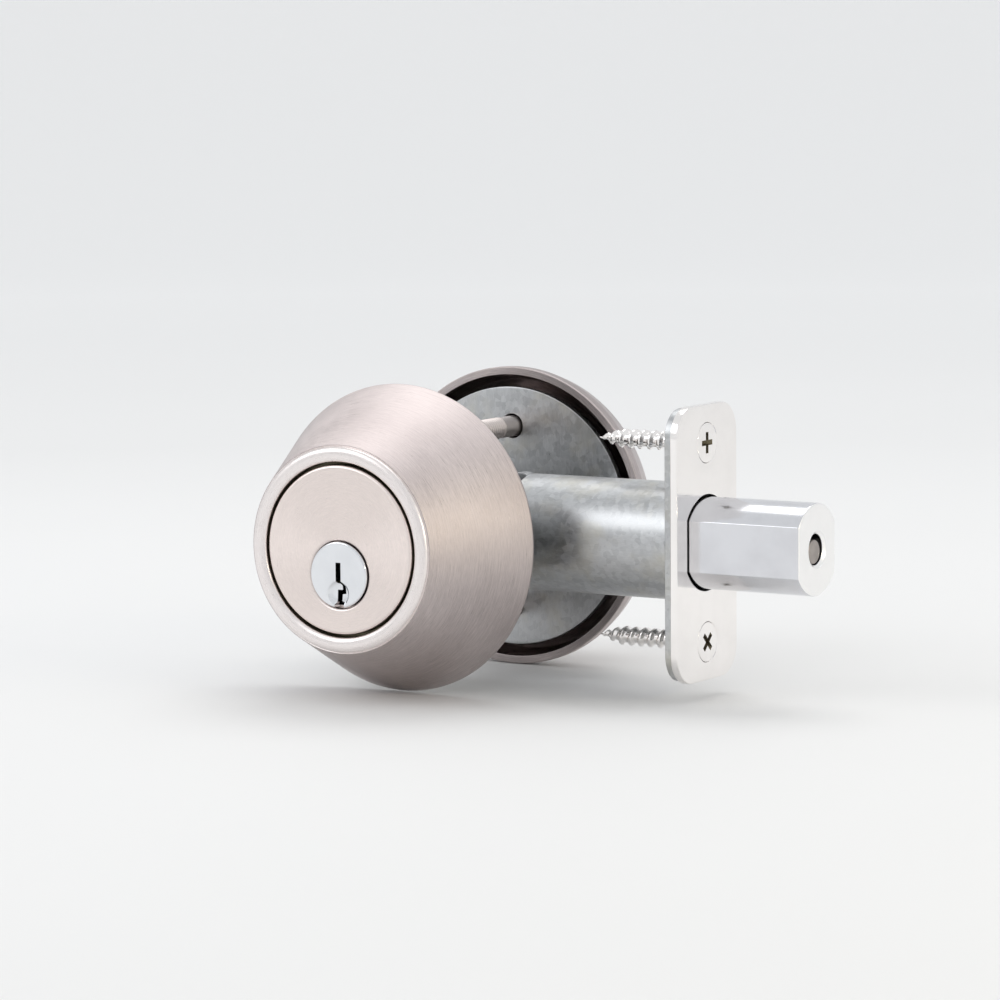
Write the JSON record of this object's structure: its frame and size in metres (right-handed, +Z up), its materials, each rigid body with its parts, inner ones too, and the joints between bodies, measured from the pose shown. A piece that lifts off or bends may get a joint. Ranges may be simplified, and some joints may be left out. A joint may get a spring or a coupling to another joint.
{
  "type": "deadbolt door lock",
  "caption": "Single-cylinder tubular deadbolt with a spinning tapered guard, thumbturn, faceplate and a bolt thrown by a hub lever.",
  "frame": {"origin": "where the axis of the door's cross bore meets the axis of the bolt, in the middle of the door's thickness", "axes": "+X to the door's edge, the way the bolt is thrown; +Y from the keyed side to the thumbturn side; +Z up"},
  "size_m": [0.118, 0.0991, 0.0646],
  "materials": {
    "satin_nickel": "satin nickel, brushed round",
    "bright_nickel": "polished nickel",
    "chrome": "polished chrome",
    "zinc_steel": "bright zinc plated",
    "brass": "turned brass",
    "spring_steel": "spring steel",
    "cast_zinc": "die cast, tumbled",
    "hardened_steel": "hardened, ground"
  },
  "bodies": {
    "lock": {"cylinder_body": "satin_nickel", "chamber_cap": "brass", "support_plate": "zinc_steel", "inside_plate": "zinc_steel", "inside_rose": "satin_nickel", "turn_washer": "spring_steel", "faceplate": "bright_nickel", "backing_plate": "zinc_steel", "latch_tube": "zinc_steel", "case_plate_outer": "zinc_steel", "case_plate_inner": "zinc_steel", "case_guide": "cast_zinc", "case_rivet_rear": "zinc_steel", "case_rivet_front": "zinc_steel", "hub_spring": "spring_steel", "driver_pin_1": "brass", "pin_spring_1": "spring_steel", "driver_pin_2": "brass", "pin_spring_2": "spring_steel", "driver_pin_3": "brass", "pin_spring_3": "spring_steel", "driver_pin_4": "brass", "pin_spring_4": "spring_steel", "driver_pin_5": "brass", "pin_spring_5": "spring_steel", "post_upper": "zinc_steel", "through_bolt_upper": "satin_nickel", "face_screw_upper": "bright_nickel", "post_lower": "zinc_steel", "through_bolt_lower": "satin_nickel", "face_screw_lower": "bright_nickel"},
    "plug": {"plug": "bright_nickel", "plug_clip": "spring_steel", "key_pin_1": "brass", "key_pin_2": "brass", "key_pin_3": "brass", "key_pin_4": "brass", "key_pin_5": "brass"},
    "turn": {"thumbturn": "satin_nickel", "turn_ring": "spring_steel", "tailpiece": "zinc_steel", "hub_lever": "cast_zinc"},
    "bolt": {"bolt": "chrome", "bolt_tail": "zinc_steel", "tail_rivet": "zinc_steel"},
    "roller": {"bolt_roller": "hardened_steel"},
    "guard": {"guard": "satin_nickel"}
  },
  "joints": [
    {"name": "turn", "type": "hinge", "parent": "lock", "child": "turn", "pos_m": [0, 0, -0.0051], "axis": [0, -1, 0], "range_deg": [0, 90]},
    {"name": "bolt_throw", "type": "slide", "parent": "lock", "child": "bolt", "axis": [1, 0, 0], "range_m": [-0.0254, 0]},
    {"name": "plug_turn", "type": "hinge", "parent": "lock", "child": "plug", "pos_m": [0, 0, -0.0051], "axis": [0, -1, 0], "range_deg": [0, 90]},
    {"name": "guard_spin", "type": "hinge", "parent": "lock", "child": "guard", "pos_m": [0, 0, 0], "axis": [0, -1, 0], "continuous": true},
    {"name": "roller_spin", "type": "hinge", "parent": "bolt", "child": "roller", "pos_m": [0.07, -0.0003, -0.00045], "axis": [1, 0, 0], "continuous": true}
  ],
  "couplings": [
    {"joint": "turn", "follows": "bolt_throw", "rad_per_m": -61.842},
    {"joint": "plug_turn", "follows": "bolt_throw", "rad_per_m": -61.842}
  ]
}
